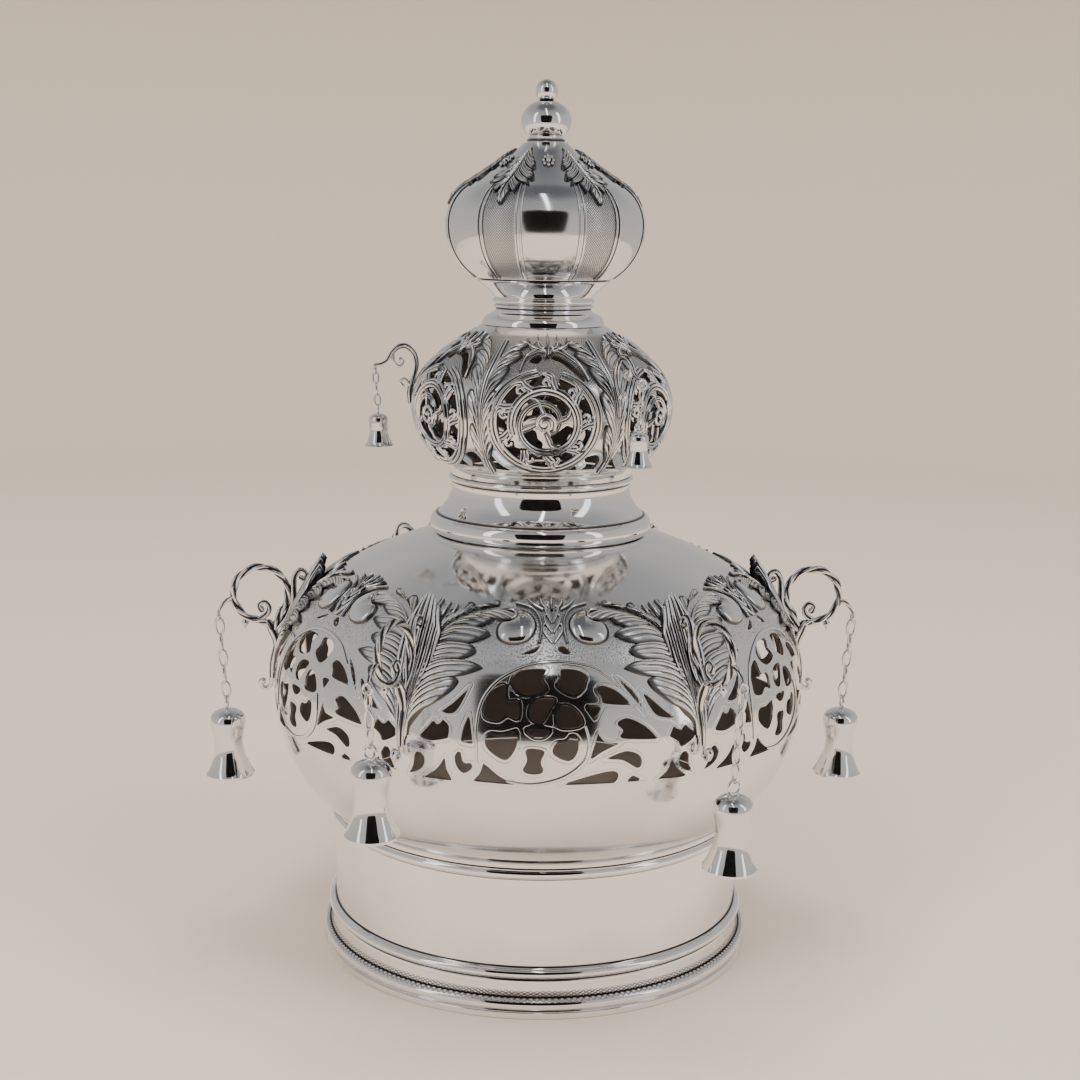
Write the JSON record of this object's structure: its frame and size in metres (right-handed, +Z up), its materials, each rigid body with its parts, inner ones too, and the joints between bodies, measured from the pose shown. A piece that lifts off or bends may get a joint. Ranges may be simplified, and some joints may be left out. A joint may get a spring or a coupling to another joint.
{
  "type": "torah crown",
  "caption": "Tiered silver crown with a collar, a pierced bowl and globe, an onion dome and a finial; scroll brackets carry chains with bells.",
  "frame": {"origin": "centre of the rim's underside, on the surface that the crown stands on", "axes": "+Z up along the crown's axis, -Y towards the front panel, +X to the front's right"},
  "size_m": [0.2812, 0.2457, 0.3598],
  "materials": {
    "polished_silver": "polished spun silver",
    "chased_silver": "chased and pierced silver, dark in its recesses",
    "cast_silver": "cast and chased silver",
    "wire_silver": "bright silver wire"
  },
  "bodies": {
    "root": {"base_collar": "polished_silver", "lower_bowl": "chased_silver", "waist": "polished_silver", "middle_globe": "chased_silver", "upper_neck": "polished_silver", "onion_dome": "chased_silver", "finial": "polished_silver", "bracket_front_left": "cast_silver", "chain_front_left": "wire_silver", "bell_front_left": "polished_silver", "bracket_front_right": "cast_silver", "chain_front_right": "wire_silver", "bell_front_right": "polished_silver", "bracket_right": "cast_silver", "chain_right": "wire_silver", "bell_right": "polished_silver", "bracket_back_right": "cast_silver", "chain_back_right": "wire_silver", "bell_back_right": "polished_silver", "bracket_back_left": "cast_silver", "chain_back_left": "wire_silver", "bell_back_left": "polished_silver", "bracket_left": "cast_silver", "chain_left": "wire_silver", "bell_left": "polished_silver", "small_bracket_left": "cast_silver", "small_chain_left": "wire_silver", "small_bell_left": "polished_silver", "small_bracket_front_right": "cast_silver", "small_chain_front_right": "wire_silver", "small_bell_front_right": "polished_silver", "small_bracket_back_right": "cast_silver", "small_chain_back_right": "wire_silver", "small_bell_back_right": "polished_silver"}
  },
  "joints": []
}
